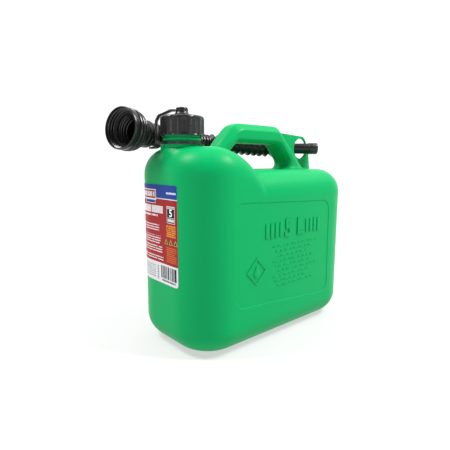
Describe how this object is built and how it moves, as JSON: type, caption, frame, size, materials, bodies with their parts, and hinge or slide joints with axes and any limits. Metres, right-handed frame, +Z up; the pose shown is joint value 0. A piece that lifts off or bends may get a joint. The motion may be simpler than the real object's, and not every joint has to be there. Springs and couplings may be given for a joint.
{
  "type": "fuel can",
  "caption": "Portable five litre plastic fuel can with carry handle, tethered screw cap and a flexible pouring spout stowed through a fin.",
  "frame": {"origin": "centre of the can's base, on the surface that it stands on", "axes": "+X from the neck and label end to the tail end, +Y to the side on which the spout is stowed, +Z up"},
  "size_m": [0.2829, 0.129, 0.2514],
  "materials": {
    "green_plastic": "satin",
    "black_plastic": "satin",
    "black_rubber": "matte",
    "label_paper": "satin"
  },
  "bodies": {
    "can": {"tank": "green_plastic", "front_label": "label_paper", "neck_ring": "black_plastic", "cap_strap": "black_plastic"},
    "tether_eyelet": {"strap_eyelet": "black_plastic"},
    "cap": {"cap": "black_plastic", "cap_gasket": "black_rubber"},
    "spout": {"spout_bell": "black_plastic", "spout_seal": "black_rubber", "spout_hose": "black_plastic", "spout_tip": "black_plastic"}
  },
  "joints": [
    {"name": "cap_lift", "type": "slide", "parent": "can", "child": "tether_eyelet", "axis": [0, 0, 1], "range_m": [0, 0.01126], "deforming": ["cap_strap"]},
    {"name": "cap_turn", "type": "hinge", "parent": "tether_eyelet", "child": "cap", "pos_m": [-0.0975, 0, 0.23], "axis": [0, 0, 1], "range_deg": [0, 810]},
    {"name": "spout_release", "type": "slide", "parent": "can", "child": "spout", "axis": [-0.7664, 0.6424, 0], "range_m": [0, 0.06]}
  ],
  "couplings": [
    {"joint": "cap_lift", "follows": "cap_turn", "m_per_rad": 0.00079577}
  ]
}
